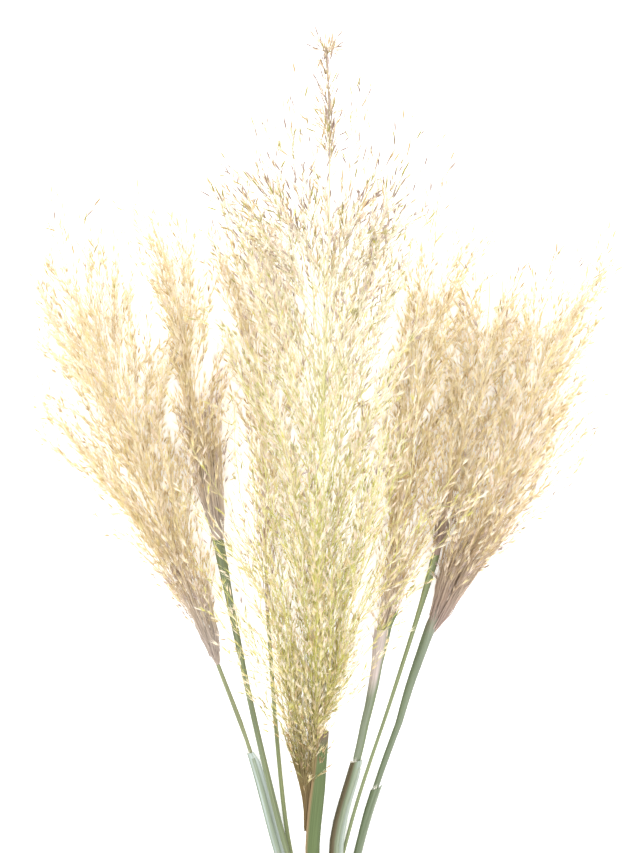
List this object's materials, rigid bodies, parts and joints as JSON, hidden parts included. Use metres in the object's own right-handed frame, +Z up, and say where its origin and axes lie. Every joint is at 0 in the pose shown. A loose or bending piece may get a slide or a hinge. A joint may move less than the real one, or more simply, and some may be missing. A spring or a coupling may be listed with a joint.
{
  "type": "bundle of pampas grass",
  "caption": "Cut, dried pampas grass stalks with feathery cream plumes, lying together on a flat surface, stems gathered at the cut ends and plumes fanned out.",
  "frame": {"origin": "on the surface the bundle lies on, under the centre of its bounding box", "axes": "+Y from the cut ends toward the plume tips, +Z up from the surface, +X to the right seen from above with the tips away from the viewer"},
  "size_m": [0.506, 0.943, 0.1649],
  "materials": {
    "plume_cream": "soft, hairy, cream, with straw-coloured and greenish branches",
    "plume_grey": "soft, hairy, greyer cream",
    "culm": "smooth, satin, grey-green with fine lengthwise ribs",
    "sheath": "satin, grey-green leaf with lengthwise veins and straw-coloured edges"
  },
  "bodies": {
    "root": {"culm_back": "culm", "culm_centre": "culm", "culm_left_back": "culm", "culm_left_front": "culm", "culm_right_back": "culm", "culm_right_front": "culm", "culm_right_inner": "culm", "flag_sheath_centre": "sheath", "flag_sheath_right_front": "sheath", "flag_sheath_right_inner": "sheath", "lower_sheath_back": "sheath", "lower_sheath_centre": "sheath", "lower_sheath_left_back": "sheath", "lower_sheath_left_front": "sheath", "lower_sheath_right_back": "sheath", "lower_sheath_right_front": "sheath", "lower_sheath_right_inner": "sheath", "plume_back": "plume_cream", "plume_centre": "plume_cream", "plume_left_back": "plume_grey", "plume_left_front": "plume_cream", "plume_right_back": "plume_cream", "plume_right_front": "plume_cream", "plume_right_inner": "plume_cream"}
  },
  "joints": []
}
